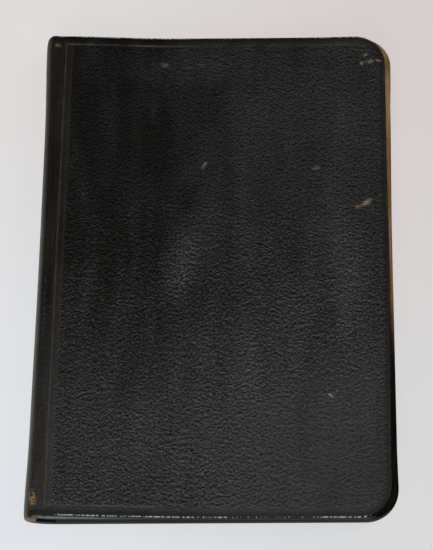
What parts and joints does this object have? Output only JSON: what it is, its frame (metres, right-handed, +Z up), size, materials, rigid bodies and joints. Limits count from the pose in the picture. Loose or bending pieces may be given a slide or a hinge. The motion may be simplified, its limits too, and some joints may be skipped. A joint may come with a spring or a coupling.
{
  "type": "prayer book",
  "caption": "Small leather-bound prayer book with rounded fore-edge corners, gilt page edges and a smooth rounded spine; it opens at the front cover and in the middle.",
  "frame": {"origin": "middle of the book's box, on the underside of the back cover", "axes": "+X from the spine to the fore-edge, +Y from the tail to the head, +Z up through the closed book"},
  "size_m": [0.1, 0.14, 0.0124],
  "materials": {
    "cover_leather": "black fine pebble grain, soft sheen, rubbed edges",
    "spine_leather": "smooth black, worn tan at both caps",
    "board": "grey-brown pulp board",
    "endpaper": "cream laid paper, toned",
    "leaves": "thin cream paper, gilt fore-edge, dulled ends",
    "lining_paper": "brown kraft paper",
    "mull": "open-weave starched cotton",
    "tape": "unbleached linen tape",
    "thread": "waxed linen thread"
  },
  "bodies": {
    "rear_half": {"rear_board": "board", "rear_cover_leather": "cover_leather", "rear_flyleaf": "endpaper", "rear_pastedown": "endpaper", "rear_sewing_tapes": "tape", "rear_sewing_threads": "thread", "rear_spine_leather": "spine_leather", "rear_spine_lining": "lining_paper", "rear_spine_mull": "mull", "section_01": "leaves", "section_02": "leaves", "section_03": "leaves", "section_04": "leaves", "section_05": "leaves", "section_06": "leaves"},
    "front_half": {"front_sewing_tapes": "tape", "front_sewing_threads": "thread", "front_spine_leather": "spine_leather", "front_spine_lining": "lining_paper", "front_spine_mull": "mull", "section_07": "leaves", "section_08": "leaves", "section_09": "leaves", "section_10": "leaves", "section_11": "leaves", "section_12": "leaves"},
    "front_cover": {"front_board": "board", "front_cover_leather": "cover_leather", "front_pastedown": "endpaper"},
    "front_flyleaf": {"front_flyleaf": "endpaper"},
    "rear_middle_leaves": {"rear_middle_leaves": "leaves"},
    "front_middle_leaves": {"front_middle_leaves": "leaves"}
  },
  "joints": [
    {"name": "book_opening", "type": "hinge", "parent": "rear_half", "child": "front_half", "pos_m": [-0.05015, 0, 0.00625], "axis": [0, -1, 0], "range_deg": [0, 181]},
    {"name": "front_cover_opening", "type": "hinge", "parent": "front_half", "child": "front_cover", "pos_m": [-0.04386, 0, 0.01251], "axis": [0, -1, 0], "range_deg": [0, 180]},
    {"name": "front_flyleaf_lift", "type": "hinge", "parent": "front_half", "child": "front_flyleaf", "pos_m": [-0.04101, 0, 0.01025], "axis": [0, -1, 0], "range_deg": [0, 30]},
    {"name": "rear_leaves_fan", "type": "hinge", "parent": "rear_half", "child": "rear_middle_leaves", "pos_m": [-0.05015, 0, 0.00625], "axis": [0, -1, 0], "range_deg": [0, 12]},
    {"name": "front_leaves_fan", "type": "hinge", "parent": "front_half", "child": "front_middle_leaves", "pos_m": [-0.05015, 0, 0.00625], "axis": [0, -1, 0], "range_deg": [-12, 0]}
  ],
  "couplings": [
    {"joint": "front_flyleaf_lift", "follows": "front_cover_opening", "ratio": 0.12},
    {"joint": "rear_leaves_fan", "follows": "book_opening", "ratio": 0.05},
    {"joint": "front_leaves_fan", "follows": "book_opening", "ratio": -0.05}
  ]
}
